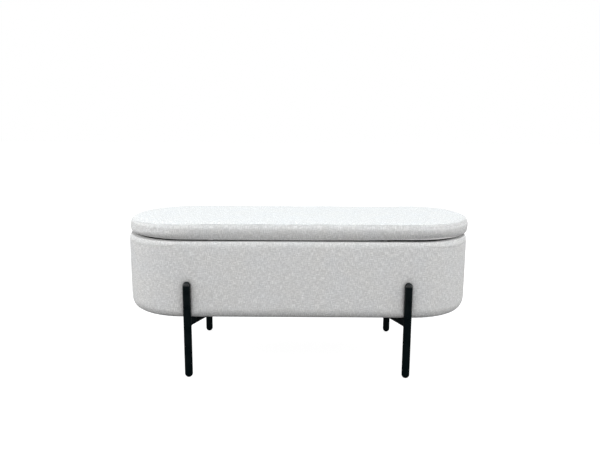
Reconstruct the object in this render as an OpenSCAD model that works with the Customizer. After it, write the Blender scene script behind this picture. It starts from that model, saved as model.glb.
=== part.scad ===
// Upholstered storage bench: an oval padded box with a hinged padded lid, on four round steel legs.
// Millimetres. The origin is on the floor under the bench's middle, +X is along its length and +Z is up.
// The front faces -Y, and the lid's hinges are along the +Y side.

/* [Bench] */
// Length over the box and the lid
bench_length = 1000; // [820:1:1200]
// Depth over the box and the lid
bench_depth = 360; // [300:1:440]
// Height of the box's underside above the floor
box_lift = 169; // [120:1:220]
// Height of the upholstered box
box_height = 217; // [180:1:280]
// Height of the padded lid
lid_height = 50; // [46:1:80]
// Distance of the lid's side inside the box's side
lid_set_back = 3; // [0:0.5:5]
// Space between the closed lid and the box's rim
lid_gap = 3.4; // [2.8:0.1:5]
// Angle that the lid opens to
lid_open = 100; // [80:1:105]

/* [Upholstery] */
// Thickness of the woven cover
cover_t = 1.5; // [1:0.1:2]
// Foam on the outside of the box's walls
wall_foam = 10; // [9:0.5:16]
// Foam folded over the top of the walls
rim_foam = 4; // [2:0.5:6]
// Foam round the lid board's edge
lid_edge_foam = 8.5; // [7:0.5:12]
// Radius of the box's top edge
rim_round = 14; // [11:0.5:18]
// Radius of the box's bottom edge
bottom_round = 18; // [14:0.5:22]
// Radius of the lid's bottom edge
lid_round = 17; // [14:0.5:20]
// Radius of the lid's top edge
crown_round = 14; // [11:0.5:17]
// Height of the lid's seam above its underside
seam_height = 43.5; // [34:0.5:50]
// Width of cover turned in and stapled under a board
turn_under = 28; // [22:1:40]
// Thickness of the cavity's lining
lining_t = 1; // [0.6:0.1:1.5]

/* [Boards] */
// Thickness of the box's wall boards
wall_t = 14; // [12:0.5:18]
// Thickness of the bottom board
bottom_t = 12; // [9:0.5:16]
// Thickness of the lid board
lid_board_t = 12; // [9:0.5:16]

/* [Legs] */
// Diameter of a leg tube
leg_dia = 22; // [18:0.5:25]
// Wall of a leg tube
leg_wall = 1.5; // [1:0.1:2]
// Height of a leg to the top of its domed cap
leg_height = 275; // [250:1:310]
// Distance from a leg's axis to the start of the round end
leg_set_in = 16; // [14:1:60]
// Distance of a leg's axis outside the box's face
leg_stand_out = 3; // [3:0.5:9]
// Diameter of the flat under a foot
foot_flat = 8; // [6:0.5:12]
// Length of the plug of a cap or a foot inside its tube
plug_length = 14; // [8:1:24]
// Height of the rectangular leg rail
rail_h = 20; // [16:1:25]
// Width of the rectangular leg rail
rail_w = 15; // [12:0.5:17]
// Wall of the leg rail
rail_wall = 1.5; // [1:0.1:2]
// Length of the rail's straight middle stretch
rail_straight = 210; // [150:5:230]
// Angle of the rail's arms from the bench's depth direction
arm_angle = 23; // [0:1:30]
// Height of the leg bolts above the box's underside
leg_bolt_rise = 66; // [40:1:80]

/* [Lid hinges] */
// Length of a hinge
leaf_length = 60; // [50:5:80]
// Thickness of a hinge leaf
leaf_t = 1.2; // [0.8:0.1:1.3]
// Radius of the hinge barrel
barrel_r = 4; // [3.5:0.1:4.2]
// Radius of the hinge pin
pin_r = 2.5; // [2:0.1:2.7]
// Distance of the hinge axis inside the back face
hinge_inset = 4; // [3:0.1:4.5]
// Distance from a hinge's middle to the start of the round end
hinge_set_in = 120; // [80:1:180]

/* [Lid stays] */
// Distance from a stay to the start of the round end
stay_set_in = 35; // [32:1:50]
// Distance of the box pivot in front of the lining
stay_out = 16; // [14:1:24]
// Depth of the box pivot below the hinge axis
stay_drop = 60; // [50:1:80]
// Distance of the lid pivot in front of the hinge axis
stay_reach = 105; // [90:1:130]
// Depth of the lid pivot below the lid's underside
stay_hang = 12; // [11:0.5:16]
// Width of a stay arm
arm_w = 12; // [11:0.5:13]
// Thickness of a stay's arms and ears
arm_t = 2; // [1.5:0.1:3]

/* [Fasteners] */
// Radius of the bolts of the legs and rails
bolt_r = 3; // [2.5:0.5:4]
// Radius of the bolts' heads
bolt_head_r = 5.2; // [5:0.1:7]
// Height of the bolts' heads
bolt_head_h = 3.2; // [2:0.1:5]
// Radius of the washers
washer_r = 8; // [7.5:0.5:10]
// Thickness of the washers
washer_t = 1.2; // [0.8:0.1:2]
// Radius of the wood screws
screw_r = 1.6; // [1.2:0.1:2]
// Radius of the wood screws' heads
screw_head_r = 3.4; // [2.8:0.1:3.8]
// Length of a wood screw in the wood
screw_length = 11; // [8:1:11]
// Height of a pan-head screw's head
pan_head_h = 2; // [1.5:0.1:2.5]
// Radius of the hexagon socket in a bolt's head
socket_r = 2.1; // [1.6:0.1:2.6]
// Depth of the hexagon socket
socket_depth = 1.6; // [1:0.1:2.2]
// Radius of the stays' rivets
rivet_r = 3; // [2:0.1:3.5]
// Radius of the stays' rivet heads
rivet_head_r = 5; // [4.5:0.1:6]

/* [Clearances] */
// Clearance round a bolt in the part that it only passes through
bolt_clear = 0.25; // [0.1:0.05:0.5]
// Running clearance of a pin or rivet in the arm that turns on it
run_clear = 0.05; // [0.02:0.01:0.1]
// Clearance between faces that move past each other
side_clear = 0.3; // [0.2:0.05:0.5]
// Clearance of the middle rivet in the upper arm
middle_clear = 0.3; // [0.2:0.05:0.5]

/* [Hidden] */
$fn = 64;
margin = 1;                // overshoot of a cut past the face it starts from

half_depth = bench_depth / 2;
half_straight = bench_length / 2 - half_depth;
box_z0 = box_lift;
rim_z = box_z0 + box_height;
lid_z0 = rim_z + lid_gap;
lid_z1 = lid_z0 + lid_height;
seam_z = lid_z0 + seam_height;

// Distances of the box's layers from the oval's centre line, and their levels
wall_out = half_depth - cover_t - wall_foam;
wall_in = wall_out - wall_t;
wall_mid = (wall_in + wall_out) / 2;
cavity_r = wall_in - lining_t;
floor_out = half_depth - bottom_round;
floor_z0 = box_z0 + cover_t;
wall_z0 = floor_z0 + bottom_t;
wall_z1 = rim_z - cover_t - rim_foam;
box_turn_r = floor_out - turn_under;

// The lid's layers
lid_half_depth = half_depth - lid_set_back;
lid_board_r = lid_half_depth - cover_t - lid_edge_foam;
lid_board_z0 = lid_z0 + cover_t;
lid_turn_r = lid_half_depth - lid_round - turn_under;

// Legs and rails
leg_r = leg_dia / 2;
leg_x = half_straight - leg_set_in;
leg_y = half_depth + leg_stand_out;
foot_rise = sqrt(pow(leg_r, 2) - pow(foot_flat / 2, 2));
leg_bolt_z = box_z0 + leg_bolt_rise;
leg_bore = leg_r - leg_wall;
rail_z0 = box_z0 - rail_h;
bend_y = rail_straight / 2;
rail_x = leg_x - (leg_y - bend_y) * tan(arm_angle);
rail_bolt_set_in = 25;     // from a rail's bend to its nearest bolt
rail_bolt_y = bend_y - rail_bolt_set_in;
bolt_head_taper = 1;       // what a bolt's head loses in radius over its height
insert_wall = 1.5;
insert_r = bolt_r + insert_wall;
insert_face = leg_y - sqrt(pow(leg_r, 2) - pow(insert_r, 2));
insert_length = 9;
tnut_wall = 1;
tnut_r = bolt_r + tnut_wall;
tnut_flange_r = 9;
tnut_flange_t = 1.2;

// Hinges: the barrel lies in the groove between the rounded edges of the lid and the box
hinge_x = half_straight - hinge_set_in;
hinge_y = half_depth - hinge_inset;
hinge_z = rim_z + lid_gap / 2;
knuckles = 5;
knuckle_l = leaf_length / knuckles;
leaf_front = hinge_y - wall_in;          // the leaf reaches in to the wall's inner face
leaf_back = barrel_r + side_clear;
leaf_screw_set_in = 8;     // from a leaf's end to its first screw
screw_spread = leaf_length / 2 - leaf_screw_set_in;
pin_overhang = 0.8;

// Stays: hinge axis, box pivot, middle pivot and lid pivot are the corners of a parallelogram,
// so the lower arm stays parallel to the lid and the upper arm never turns over
stay_x = half_straight - stay_set_in;
box_pivot = [cavity_r - stay_out, hinge_z - stay_drop];
lid_pivot = [hinge_y - stay_reach, lid_z0 - stay_hang];
hinge_axis = [hinge_y, hinge_z];
middle_pivot = box_pivot + lid_pivot - hinge_axis;
lower_angle = atan2(middle_pivot[1] - box_pivot[1], middle_pivot[0] - box_pivot[0]);
upper_angle = atan2(lid_pivot[1] - middle_pivot[1], lid_pivot[0] - middle_pivot[0]);
box_ear_w = 20;
lid_ear_w = 16;
nose_length = 14;          // the lower arm runs on past its middle pivot
tab_start = 12;
tab_length = 6;
plate_t = 2;
plate_w = 20;
stay_head_t = 1.5;         // height of a rivet head
// Distances from the box ear's inner face towards the middle of the bench
lower_s = side_clear;
upper_s = lower_s + arm_t + side_clear;
lid_ear_s = upper_s + arm_t + side_clear;
bracket_screw_z = 13;      // from a pivot to each screw of its bracket
bracket_screw_x = stay_x + arm_t + (plate_w - arm_t) / 2;
lid_plate_x0 = stay_x - lid_ear_s - arm_t;
lid_screw_x = lid_plate_x0 + arm_t + plate_w / 2;

bumper_t = lid_gap - side_clear;
bumper_r = 5;
bumper_line = wall_mid - 3;
bumper_set_in = 70;

// ---- Oval sweeps: a profile is drawn as (distance from the centre line, height) ----

module on_side(side) {
  if (side > 0) children(); else mirror([1, 0, 0]) children();
}

module straight_run(side) {
  rotate([0, 0, side > 0 ? 0 : 180]) translate([-half_straight, 0, 0])
    rotate([90, 0, 90]) linear_extrude(2 * half_straight) children();
}

module round_end(side) {
  translate([side * half_straight, 0, 0]) rotate([0, 0, side > 0 ? -90 : 90])
    rotate_extrude(angle = 180) children();
}

module around() {
  straight_run(1) children();
  straight_run(-1) children();
  round_end(1) children();
  round_end(-1) children();
}

module band(r0, r1, z0, z1) {
  translate([r0, z0]) square([r1 - r0, z1 - z0]);
}

// What an outer corner loses when it is rounded; up is 1 at a bottom corner and -1 at a top one
module corner_waste(r, z, radius, up) {
  difference() {
    translate([r - radius, up > 0 ? z - margin : z - radius]) square(radius + margin);
    translate([r - radius, z + up * radius]) circle(radius);
  }
}

module rounded_band(r0, r1, z0, z1, low_round, high_round) {
  difference() {
    band(r0, r1, z0, z1);
    corner_waste(r1, z0, low_round, 1);
    corner_waste(r1, z1, high_round, -1);
  }
}

// The box's outline, and the same outline one cover thickness in
module box_outline(inset) {
  rounded_band(0, half_depth - inset, box_z0 + inset, rim_z - inset,
               bottom_round - inset, rim_round - inset);
}

module lid_outline(inset) {
  rounded_band(0, lid_half_depth - inset, lid_z0 + inset, lid_z1 - inset,
               lid_round - inset, crown_round - inset);
}

// ---- Places ----

module at_legs() {
  for (x = [-1, 1], y = [-1, 1]) translate([x * leg_x, y * leg_y, 0]) children();
}

// Turns a shape on +Z so that it points outwards along Y at each leg bolt, from the cavity's face
module at_leg_bolts() {
  for (x = [-1, 1], y = [-1, 1])
    translate([x * leg_x, 0, leg_bolt_z]) rotate([-90 * y, 0, 0]) children();
}

module leg_bolt_holes(radius) {
  at_leg_bolts() translate([0, 0, cavity_r - margin]) cylinder(r = radius, h = half_depth - cavity_r);
}

// The room that the legs take out of the padding, grown by the cover's thickness for the foam
module leg_room(grow) {
  at_legs() {
    cylinder(r = leg_r + grow, h = leg_height - leg_r);
    translate([0, 0, leg_height - leg_r]) sphere(leg_r + grow);
  }
}

module at_rail_bolts() {
  for (x = [-1, 1], y = [-1, 0, 1]) translate([x * rail_x, y * rail_bolt_y, 0]) children();
}

module at_leaf_screws() {
  for (x = [-1, 1], k = [-1, 0, 1]) translate([x * hinge_x + k * screw_spread, wall_mid, 0]) children();
}

module leaf_screw_holes(z0, z1) {
  at_leaf_screws() translate([0, 0, z0]) cylinder(r = screw_r, h = z1 - z0);
}

// Screws of the box brackets, pointing backwards from the lining's face
module at_box_bracket_screws() {
  for (x = [-1, 1], k = [-1, 1])
    translate([x * bracket_screw_x, cavity_r, box_pivot[1] + k * bracket_screw_z])
      rotate([-90, 0, 0]) children();
}

module at_lid_bracket_screws() {
  for (x = [-1, 1], k = [-1, 1])
    translate([x * lid_screw_x, lid_pivot[0] + k * bracket_screw_z, lid_z0]) children();
}

// Each bumper's lower face, just above the rim's flat top
module at_bumpers() {
  for (x = [-1, 1])
    for (p = [[half_straight - bumper_set_in, -bumper_line], [half_straight + bumper_line, 0]])
      translate([x * p[0], p[1], lid_z0 - bumper_t]) children();
}

// ---- Fasteners ----

// A pan-head wood screw with its head's seat at z = 0 and its shank up +Z
module pan_screw(grip) {
  translate([0, 0, -pan_head_h]) cylinder(r = screw_head_r, h = pan_head_h);
  cylinder(r = screw_r, h = grip + screw_length);
}

// A countersunk wood screw with its flush head from z = 0 and its shank up +Z
module flush_screw(grip) {
  cylinder(r1 = screw_head_r, r2 = screw_r, h = leaf_t);
  cylinder(r = screw_r, h = grip + screw_length);
}

// A button-head bolt with its head's seat at z = 0 and its shank up +Z
module button_bolt(length) {
  translate([0, 0, -bolt_head_h]) difference() {
    cylinder(r1 = bolt_head_r - bolt_head_taper, r2 = bolt_head_r, h = bolt_head_h);
    translate([0, 0, -margin]) cylinder(r = socket_r, h = margin + socket_depth, $fn = 6);
  }
  cylinder(r = bolt_r, h = length);
}

module washer() {
  difference() {
    cylinder(r = washer_r, h = washer_t);
    translate([0, 0, -margin]) cylinder(r = bolt_r + bolt_clear, h = washer_t + 2 * margin);
  }
}

// ---- The box ----

module bottom_board() {
  color("burlywood") difference() {
    around() band(0, floor_out, floor_z0, wall_z0);
    at_rail_bolts() {
      translate([0, 0, floor_z0 - margin]) cylinder(r = tnut_r, h = bottom_t + 2 * margin);
      translate([0, 0, wall_z0 - tnut_flange_t]) cylinder(r = tnut_flange_r, h = tnut_flange_t + margin);
    }
  }
}

module wall_profile() {
  band(wall_in, wall_out, wall_z0, wall_z1);
}

module front_wall() {
  color("burlywood") difference() {
    straight_run(-1) wall_profile();
    leg_bolt_holes(bolt_r + bolt_clear);
  }
}

module back_wall() {
  color("burlywood") difference() {
    straight_run(1) wall_profile();
    leg_bolt_holes(bolt_r + bolt_clear);
    leaf_screw_holes(wall_z1 - screw_length, wall_z1 + margin);
    at_box_bracket_screws() cylinder(r = screw_r, h = lining_t + screw_length);
  }
}

module left_end_wall() {
  color("tan") round_end(-1) wall_profile();
}

module right_end_wall() {
  color("tan") round_end(1) wall_profile();
}

// Foam round the walls, folded over their top and under their overhang
module wall_padding() {
  color("khaki") difference() {
    around() difference() {
      box_outline(cover_t);
      band(-margin, wall_in, floor_z0 - margin, rim_z);
      band(-margin, floor_out, floor_z0 - margin, wall_z0);
      band(wall_in - margin, wall_out, wall_z0, wall_z1);
    }
    leg_room(cover_t);
    leg_bolt_holes(bolt_r + bolt_clear);
    leaf_screw_holes(wall_z1 - margin, rim_z);
  }
}

module body_cover() {
  color("lightgray") difference() {
    around() difference() {
      box_outline(0);
      band(-margin, box_turn_r, box_z0 - margin, rim_z + margin);
      band(box_turn_r - margin, cavity_r, floor_z0, rim_z + margin);
    }
    difference() {
      around() box_outline(cover_t);
      leg_room(cover_t);
    }
    leg_room(0);
    leg_bolt_holes(bolt_r + bolt_clear);
    leaf_screw_holes(rim_z - cover_t - margin, rim_z + margin);
  }
}

module cavity_lining() {
  color("dimgray") difference() {
    around() {
      band(0, wall_in, wall_z0, wall_z0 + lining_t);
      band(cavity_r, wall_in, wall_z0, rim_z - cover_t);
    }
    leg_bolt_holes(bolt_r + bolt_clear);
    at_box_bracket_screws() translate([0, 0, -margin]) cylinder(r = screw_r, h = lining_t + 2 * margin);
  }
}

module dust_cover() {
  color("black") difference() {
    around() band(0, box_turn_r, box_z0, floor_z0);
    at_rail_bolts() translate([0, 0, box_z0 - margin])
      cylinder(r = bolt_r + bolt_clear, h = cover_t + 2 * margin);
  }
}

// ---- Legs and rails ----

module leg(x, y) {
  color("darkslategray") difference() {
    translate([x * leg_x, y * leg_y, foot_rise])
      cylinder(r = leg_r, h = leg_height - leg_r - foot_rise);
    translate([x * leg_x, y * leg_y, 0]) cylinder(r = leg_bore, h = leg_height);
    translate([x * leg_x, 0, leg_bolt_z]) rotate([-90 * y, 0, 0]) translate([0, 0, half_depth - leg_r])
      cylinder(r = insert_r, h = leg_y - half_depth + leg_r);
  }
}

module front_left_leg() { leg(-1, -1); }
module front_right_leg() { leg(1, -1); }
module rear_left_leg() { leg(-1, 1); }
module rear_right_leg() { leg(1, 1); }

module leg_caps() {
  color("black") at_legs() translate([0, 0, leg_height - leg_r]) {
    intersection() {
      sphere(leg_r);
      translate([-leg_r, -leg_r, 0]) cube([leg_dia, leg_dia, leg_r]);
    }
    translate([0, 0, -plug_length]) cylinder(r = leg_bore, h = plug_length);
  }
}

module leg_feet() {
  color("black") at_legs() {
    intersection() {
      translate([0, 0, foot_rise]) sphere(leg_r);
      translate([-leg_r, -leg_r, 0]) cube([leg_dia, leg_dia, foot_rise]);
    }
    translate([0, 0, foot_rise]) cylinder(r = leg_bore, h = plug_length);
  }
}

module leg_inserts() {
  color("silver") at_leg_bolts() translate([0, 0, insert_face]) difference() {
    cylinder(r = insert_r, h = insert_length);
    translate([0, 0, -margin]) cylinder(r = bolt_r, h = insert_length + 2 * margin);
  }
}

module leg_washers() {
  color("silver") at_leg_bolts() translate([0, 0, cavity_r - washer_t]) washer();
}

module leg_bolts() {
  color("silver") at_leg_bolts() translate([0, 0, cavity_r - washer_t])
    button_bolt(insert_face + insert_length - cavity_r + washer_t);
}

// Rear half of the line that runs at a distance d outside the rail's middle line, mitred at the bend
function rail_edge(d) = [
  [leg_x + d * cos(arm_angle), leg_y - d * sin(arm_angle)],
  [rail_x + d, bend_y - d * tan(arm_angle / 2)]
];

// Plan of a rail: a straight stretch whose mitred arms splay outwards to the two legs
module rail_plan(width) {
  outer = rail_edge(width / 2);
  inner = rail_edge(-width / 2);
  polygon([outer[0], outer[1], [outer[1][0], -outer[1][1]], [outer[0][0], -outer[0][1]],
           [inner[0][0], -inner[0][1]], [inner[1][0], -inner[1][1]], inner[1], inner[0]]);
}

module leg_rail(side) {
  color("darkslategray") on_side(side) difference() {
    translate([0, 0, rail_z0]) linear_extrude(rail_h) rail_plan(rail_w);
    translate([0, 0, rail_z0 + rail_wall])
      linear_extrude(rail_h - 2 * rail_wall) rail_plan(rail_w - 2 * rail_wall);
    for (y = [-1, 1]) translate([leg_x, y * leg_y, 0]) cylinder(r = leg_r, h = box_z0 + margin);
    for (y = [-1, 0, 1]) translate([rail_x, y * rail_bolt_y, rail_z0 - margin])
      cylinder(r = bolt_r + bolt_clear, h = rail_h + 2 * margin);
  }
}

module left_leg_rail() { leg_rail(-1); }
module right_leg_rail() { leg_rail(1); }

module rail_washers() {
  color("silver") at_rail_bolts() translate([0, 0, rail_z0 - washer_t]) washer();
}

module rail_bolts() {
  color("silver") at_rail_bolts() translate([0, 0, rail_z0 - washer_t])
    button_bolt(wall_z0 - rail_z0 + washer_t);
}

module rail_nuts() {
  color("silver") at_rail_bolts() difference() {
    union() {
      translate([0, 0, floor_z0]) cylinder(r = tnut_r, h = bottom_t);
      translate([0, 0, wall_z0 - tnut_flange_t]) cylinder(r = tnut_flange_r, h = tnut_flange_t);
    }
    translate([0, 0, floor_z0 - margin]) cylinder(r = bolt_r, h = bottom_t + 2 * margin);
  }
}

// ---- Hinges ----

// One leaf: owned lists its knuckles, z0 is the plate's underside, and head_down turns its screw holes over
module hinge_leaf(owned, z0, bore, end_gap, head_down) {
  x0 = hinge_x - leaf_length / 2;
  difference() {
    union() {
      translate([x0, hinge_y - leaf_front, z0]) cube([leaf_length, leaf_front - leaf_back, leaf_t]);
      for (i = owned) translate([x0 + i * knuckle_l + end_gap, hinge_y, 0]) {
        translate([0, 0, hinge_z]) rotate([0, 90, 0]) cylinder(r = barrel_r, h = knuckle_l - 2 * end_gap);
        translate([0, -leaf_back - margin, z0])
          cube([knuckle_l - 2 * end_gap, leaf_back + margin - (barrel_r + pin_r) / 2, leaf_t]);
      }
    }
    translate([x0 - margin, hinge_y, hinge_z]) rotate([0, 90, 0])
      cylinder(r = bore, h = leaf_length + 2 * margin);
    for (k = [-1, 0, 1]) translate([hinge_x + k * screw_spread, wall_mid, z0])
      cylinder(r1 = head_down ? screw_head_r : screw_r, r2 = head_down ? screw_r : screw_head_r, h = leaf_t);
  }
}

module box_leaf(side) {
  color("gainsboro") on_side(side) hinge_leaf([0, 2, 4], rim_z, pin_r, 0, false);
}

module lid_leaf(side) {
  color("gainsboro") on_side(side) hinge_leaf([1, 3], lid_z0 - leaf_t, pin_r + run_clear, side_clear, true);
}

module hinge_pin(side) {
  color("silver") on_side(side)
    translate([hinge_x - leaf_length / 2 - pin_overhang, hinge_y, hinge_z]) rotate([0, 90, 0])
      cylinder(r = pin_r, h = leaf_length + 2 * pin_overhang);
}

module left_box_leaf() { box_leaf(-1); }
module right_box_leaf() { box_leaf(1); }
module left_lid_leaf() { lid_leaf(-1); }
module right_lid_leaf() { lid_leaf(1); }
module left_hinge_pin() { hinge_pin(-1); }
module right_hinge_pin() { hinge_pin(1); }

module box_leaf_screws() {
  color("silver") at_leaf_screws() translate([0, 0, rim_z + leaf_t]) rotate([180, 0, 0])
    flush_screw(leaf_t + rim_z - wall_z1);
}

module lid_leaf_screws() {
  color("silver") at_leaf_screws() translate([0, 0, lid_z0 - leaf_t])
    flush_screw(leaf_t + cover_t - screw_r);
}

// ---- Lid stays ----

// A plate of the stay, drawn as (depth, height), s away from the box ear's inner face
module stay_plate(s, thick) {
  translate([stay_x - s - thick, 0, 0]) rotate([90, 0, 90]) linear_extrude(thick) children();
}

module link(p, q, width) {
  for (e = [p, q]) translate(e) circle(d = width);
  translate(p) rotate(atan2(q[1] - p[1], q[0] - p[0])) translate([0, -width / 2])
    square([norm(q - p), width]);
}

// A rivet across the plates from s0 to s1, with a head beyond each end
module stay_rivet(p, s0, s1) {
  color("silver") {
    stay_plate(s0, s1 - s0) translate(p) circle(rivet_r);
    stay_plate(s0 - stay_head_t, stay_head_t) translate(p) circle(rivet_head_r);
    stay_plate(s1, stay_head_t) translate(p) circle(rivet_head_r);
  }
}

module box_bracket(side) {
  color("gainsboro") on_side(side) difference() {
    union() {
      stay_plate(-arm_t, arm_t) {
        translate(box_pivot) circle(d = box_ear_w);
        translate([box_pivot[0], box_pivot[1] - box_ear_w / 2]) square([stay_out, box_ear_w]);
      }
      translate([stay_x, cavity_r - plate_t, box_pivot[1] - plate_w]) cube([plate_w, plate_t, 2 * plate_w]);
    }
    stay_plate(-arm_t - margin, arm_t + 2 * margin) translate(box_pivot) circle(rivet_r);
    for (k = [-1, 1]) translate([bracket_screw_x, cavity_r - plate_t - margin,
                                 box_pivot[1] + k * bracket_screw_z])
      rotate([-90, 0, 0]) cylinder(r = screw_r, h = plate_t + 2 * margin);
  }
}

module lid_bracket(side) {
  color("gainsboro") on_side(side) difference() {
    union() {
      stay_plate(lid_ear_s, arm_t) {
        translate(lid_pivot) circle(d = lid_ear_w);
        translate([lid_pivot[0] - lid_ear_w / 2, lid_pivot[1]]) square([lid_ear_w, stay_hang]);
      }
      translate([lid_plate_x0, lid_pivot[0] - plate_w, lid_z0 - plate_t])
        cube([plate_w, 2 * plate_w, plate_t]);
    }
    stay_plate(lid_ear_s - margin, arm_t + 2 * margin) translate(lid_pivot) circle(rivet_r);
    for (k = [-1, 1])
      translate([lid_screw_x, lid_pivot[0] + k * bracket_screw_z, lid_z0 - plate_t - margin])
        cylinder(r = screw_r, h = plate_t + 2 * margin);
  }
}

// The lower arm runs on past the middle pivot as a nose, whose tab stops the upper arm at the lid's limit
module lower_arm(side) {
  nose = middle_pivot + nose_length * [cos(lower_angle), sin(lower_angle)];
  limit_angle = upper_angle + lid_open;
  color("gainsboro") on_side(side) {
    difference() {
      stay_plate(lower_s, arm_t) link(box_pivot, nose, arm_w);
      stay_plate(lower_s - margin, arm_t + 2 * margin) translate(box_pivot) circle(rivet_r + run_clear);
      stay_plate(lower_s - margin, arm_t + 2 * margin) translate(middle_pivot) circle(rivet_r);
    }
    stay_plate(lower_s + arm_t, arm_t + side_clear) translate(middle_pivot) rotate(limit_angle)
      translate([tab_start, arm_w / 2 + side_clear]) square([tab_length, arm_t]);
  }
}

module upper_arm(side) {
  color("gainsboro") on_side(side) difference() {
    stay_plate(upper_s, arm_t) link(middle_pivot, lid_pivot, arm_w);
    stay_plate(upper_s - margin, arm_t + 2 * margin) translate(middle_pivot) circle(rivet_r + middle_clear);
    stay_plate(upper_s - margin, arm_t + 2 * margin) translate(lid_pivot) circle(rivet_r + run_clear);
  }
}

module box_rivet(side) { on_side(side) stay_rivet(box_pivot, -arm_t, lower_s + arm_t + side_clear); }
module middle_rivet(side) { on_side(side) stay_rivet(middle_pivot, lower_s, lid_ear_s); }
module lid_rivet(side) { on_side(side) stay_rivet(lid_pivot, upper_s - side_clear, lid_ear_s + arm_t); }

module left_box_bracket() { box_bracket(-1); }
module right_box_bracket() { box_bracket(1); }
module left_lid_bracket() { lid_bracket(-1); }
module right_lid_bracket() { lid_bracket(1); }
module left_lower_arm() { lower_arm(-1); }
module right_lower_arm() { lower_arm(1); }
module left_upper_arm() { upper_arm(-1); }
module right_upper_arm() { upper_arm(1); }
module left_box_rivet() { box_rivet(-1); }
module right_box_rivet() { box_rivet(1); }
module left_middle_rivet() { middle_rivet(-1); }
module right_middle_rivet() { middle_rivet(1); }
module left_lid_rivet() { lid_rivet(-1); }
module right_lid_rivet() { lid_rivet(1); }

module box_bracket_screws() {
  color("silver") at_box_bracket_screws() translate([0, 0, -plate_t]) pan_screw(plate_t + lining_t);
}

module lid_bracket_screws() {
  color("silver") at_lid_bracket_screws() translate([0, 0, -plate_t])
    pan_screw(plate_t + cover_t - screw_r);
}

// ---- The lid ----

module lid_board() {
  color("burlywood") difference() {
    around() intersection() {
      lid_outline(cover_t);
      band(0, lid_board_r, lid_board_z0, lid_board_z0 + lid_board_t);
    }
    leaf_screw_holes(lid_board_z0 - margin, lid_board_z0 + screw_length - screw_r);
    at_lid_bracket_screws() cylinder(r = screw_r, h = cover_t + screw_length - screw_r);
  }
}

module lid_foam() {
  color("khaki") around() difference() {
    lid_outline(cover_t);
    band(-margin, lid_board_r, lid_z0, lid_board_z0 + lid_board_t);
  }
}

module lid_skin() {
  difference() {
    lid_outline(0);
    lid_outline(cover_t);
  }
}

module lid_top_cover() {
  color("whitesmoke") around() intersection() {
    lid_skin();
    band(0, half_depth + margin, seam_z, lid_z1 + margin);
  }
}

module lid_side_band() {
  color("lightgray") difference() {
    around() intersection() {
      lid_skin();
      band(lid_turn_r, half_depth + margin, lid_z0 - margin, seam_z);
    }
    leaf_screw_holes(lid_z0 - margin, lid_board_z0 + margin);
    at_bumpers() cylinder(r = bumper_r, h = lid_board_z0 - lid_z0 + bumper_t);
  }
}

module lid_lining() {
  color("black") difference() {
    around() band(0, lid_turn_r, lid_z0, lid_board_z0);
    at_lid_bracket_screws() translate([0, 0, -margin]) cylinder(r = screw_r, h = cover_t + 2 * margin);
  }
}

// The bumpers sit against the lid board, through holes in the cover
module lid_bumpers() {
  color("black") at_bumpers() cylinder(r = bumper_r, h = lid_board_z0 - lid_z0 + bumper_t);
}

bottom_board();
front_wall();
back_wall();
left_end_wall();
right_end_wall();
wall_padding();
body_cover();
cavity_lining();
dust_cover();
front_left_leg();
front_right_leg();
rear_left_leg();
rear_right_leg();
leg_caps();
leg_feet();
leg_inserts();
leg_bolts();
leg_washers();
left_leg_rail();
right_leg_rail();
rail_bolts();
rail_washers();
rail_nuts();
left_box_leaf();
right_box_leaf();
left_hinge_pin();
right_hinge_pin();
box_leaf_screws();
left_box_bracket();
right_box_bracket();
left_box_rivet();
right_box_rivet();
box_bracket_screws();
left_lower_arm();
right_lower_arm();
left_middle_rivet();
right_middle_rivet();
left_upper_arm();
right_upper_arm();
lid_board();
lid_foam();
lid_top_cover();
lid_side_band();
lid_lining();
lid_bumpers();
left_lid_leaf();
right_lid_leaf();
lid_leaf_screws();
left_lid_bracket();
right_lid_bracket();
left_lid_rivet();
right_lid_rivet();
lid_bracket_screws();
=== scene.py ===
"""The looks of an upholstered storage bench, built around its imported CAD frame.

Metres, Z up, the front towards -Y. The soft pieces are profiles, drawn as (distance from the oval's centre
line, height), carried round the oval outline and worked out as whole arrays.
"""
import math
import bmesh
import bpy
import numpy as np
from mathutils import Matrix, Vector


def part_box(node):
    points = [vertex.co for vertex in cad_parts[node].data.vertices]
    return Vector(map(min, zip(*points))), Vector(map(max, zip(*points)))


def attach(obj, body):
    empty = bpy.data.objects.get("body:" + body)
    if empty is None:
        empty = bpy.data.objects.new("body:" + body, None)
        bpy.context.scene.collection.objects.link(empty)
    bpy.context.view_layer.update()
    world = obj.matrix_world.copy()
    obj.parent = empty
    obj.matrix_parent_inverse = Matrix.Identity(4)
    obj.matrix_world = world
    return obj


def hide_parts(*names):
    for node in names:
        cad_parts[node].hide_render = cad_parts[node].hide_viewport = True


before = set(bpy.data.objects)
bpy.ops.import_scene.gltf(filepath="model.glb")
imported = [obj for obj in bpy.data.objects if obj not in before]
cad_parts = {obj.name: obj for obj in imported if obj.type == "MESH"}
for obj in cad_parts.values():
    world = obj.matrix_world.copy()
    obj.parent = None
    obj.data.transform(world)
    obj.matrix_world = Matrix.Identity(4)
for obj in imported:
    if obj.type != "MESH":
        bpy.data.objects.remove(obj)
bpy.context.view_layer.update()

# ---- Sizes of the frame ----

MM = 0.001
box_low, box_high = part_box("body_cover")
band_low, band_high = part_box("lid_side_band")
reach = box_high.y                       # from the oval's centre line to the upholstery's face
run = box_high.x - reach                 # half of the straight run
under_z = box_low.z                      # underside of the box
rim_z = box_high.z                       # top of the box
lid_z = band_low.z                       # underside of the lid
seam_z = band_high.z                     # the lid's seam
top_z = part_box("lid_top_cover")[1].z     # top of the lid
lid_reach = band_high.y                  # from the centre line to the lid's side
lid_slip = 4 * MM                        # how far the padded lid sits to the right on its board

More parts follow.
